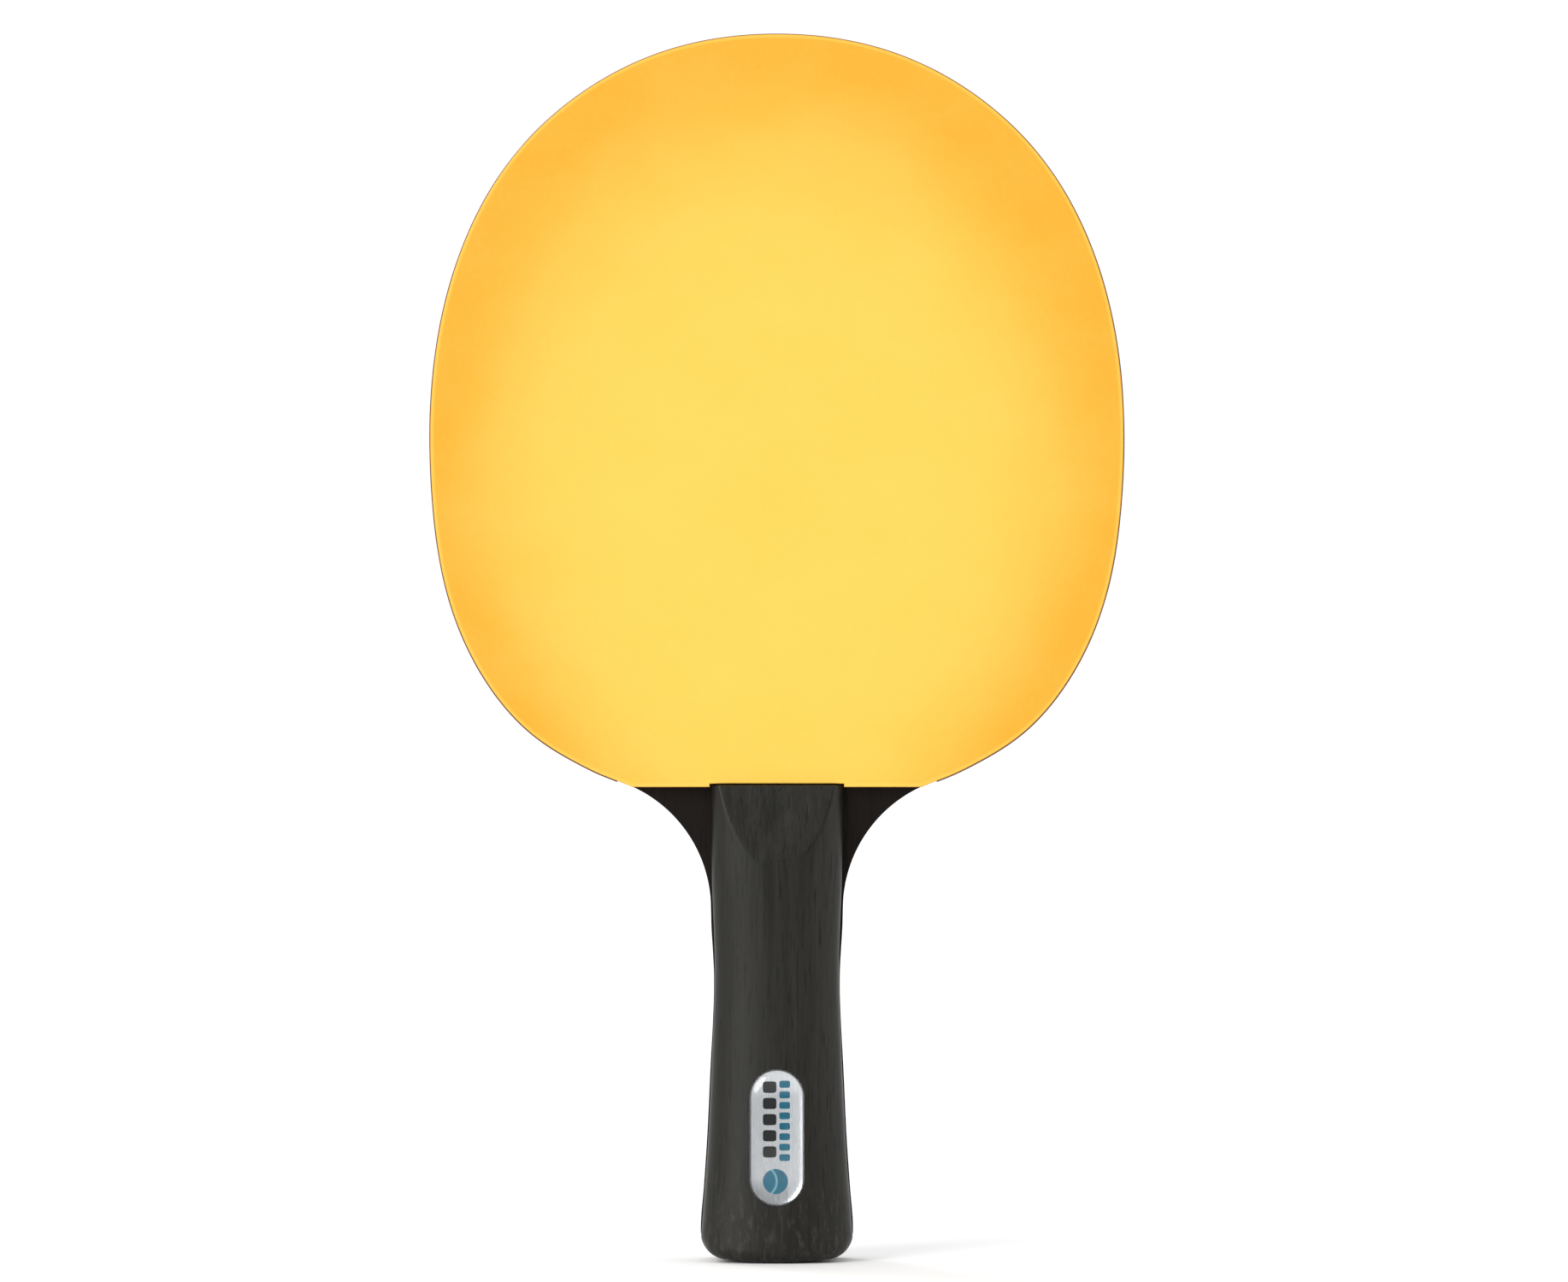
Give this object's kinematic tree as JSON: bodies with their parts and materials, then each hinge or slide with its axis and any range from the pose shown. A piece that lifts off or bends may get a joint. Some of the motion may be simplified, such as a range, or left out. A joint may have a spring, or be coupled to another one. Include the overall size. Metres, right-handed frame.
{
  "type": "table tennis paddle",
  "caption": "Flat laminated wooden paddle with a rounded rubber-faced head, a short flared oval handle and a small domed badge.",
  "frame": {"origin": "centre of the bounding box's bottom, where the butt of the handle touches the floor, on the middle plane of the blade", "axes": "+Z from the butt of the handle to the tip of the head, -Y out of the front rubber, +X to the right seen from the front"},
  "size_m": [0.1472, 0.0257, 0.26],
  "materials": {
    "core_wood": "satin",
    "inner_wood": "satin",
    "outer_wood": "satin",
    "front_sponge": "matte",
    "back_sponge": "matte",
    "front_topsheet": "satin",
    "back_topsheet": "satin",
    "edge_tape": "matte",
    "handle_wood": "satin",
    "badge_foil": "polished",
    "badge_dome": "gloss"
  },
  "bodies": {
    "root": {"blade_core_ply": "core_wood", "blade_front_inner_ply": "inner_wood", "blade_back_inner_ply": "inner_wood", "blade_front_outer_ply": "outer_wood", "blade_back_outer_ply": "outer_wood", "front_sponge": "front_sponge", "back_sponge": "back_sponge", "front_topsheet": "front_topsheet", "back_topsheet": "back_topsheet", "edge_tape": "edge_tape", "handle_front_scale": "handle_wood", "handle_back_scale": "handle_wood", "badge_foil": "badge_foil", "badge_dome": "badge_dome"}
  },
  "joints": []
}
